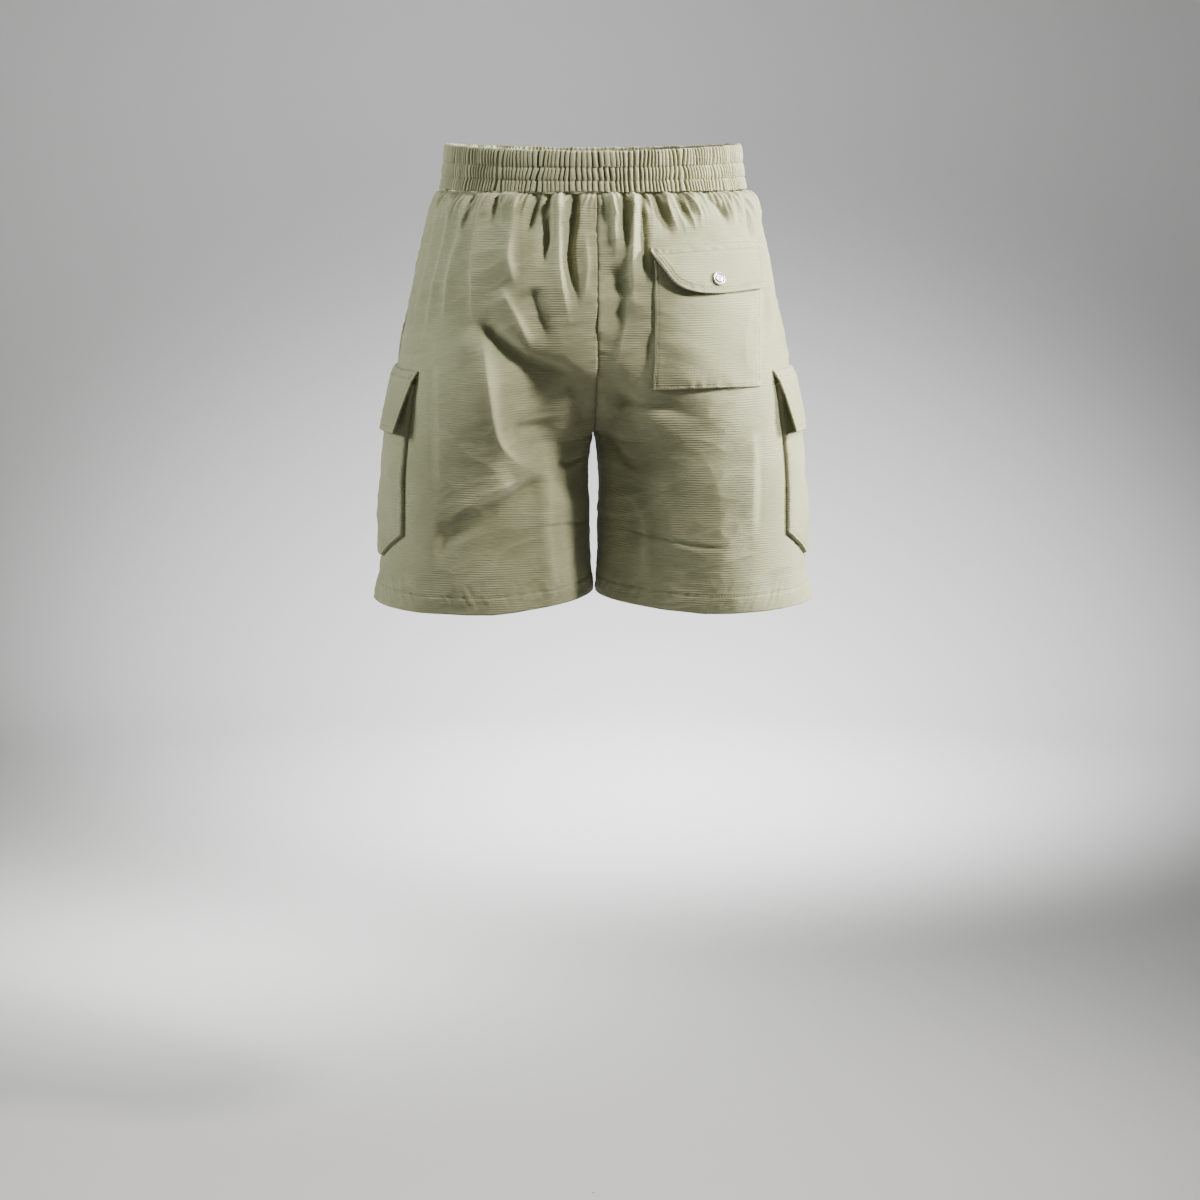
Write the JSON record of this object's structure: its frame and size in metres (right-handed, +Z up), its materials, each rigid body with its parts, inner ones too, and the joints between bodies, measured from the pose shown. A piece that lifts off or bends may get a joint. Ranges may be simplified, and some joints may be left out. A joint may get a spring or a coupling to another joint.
{
  "type": "cargo shorts",
  "caption": "Short trousers in worn form: pleated elastic waistband, two open legs, a back patch pocket with a snapped flap and flapped cargo pockets at the sides.",
  "frame": {"origin": "middle of the waistband ring, halfway up the band", "axes": "+Z up the wearer's body, -Y to the front, +X to the wearer's left"},
  "size_m": [0.4482, 0.2553, 0.4614],
  "materials": {
    "cloth": "plain woven olive khaki cotton poplin with a faint cross rib, matt with a slight sheen",
    "snap": "bright nickel-plated snap cap"
  },
  "bodies": {
    "root": {"waistband": "cloth", "back_left": "cloth", "back_right": "cloth", "front_left": "cloth", "front_right": "cloth", "back_pocket": "cloth", "back_pocket_flap": "cloth", "cargo_pocket_left": "cloth", "cargo_pocket_right": "cloth", "cargo_flap_left": "cloth", "cargo_flap_right": "cloth", "snap_cap": "snap"}
  },
  "joints": []
}
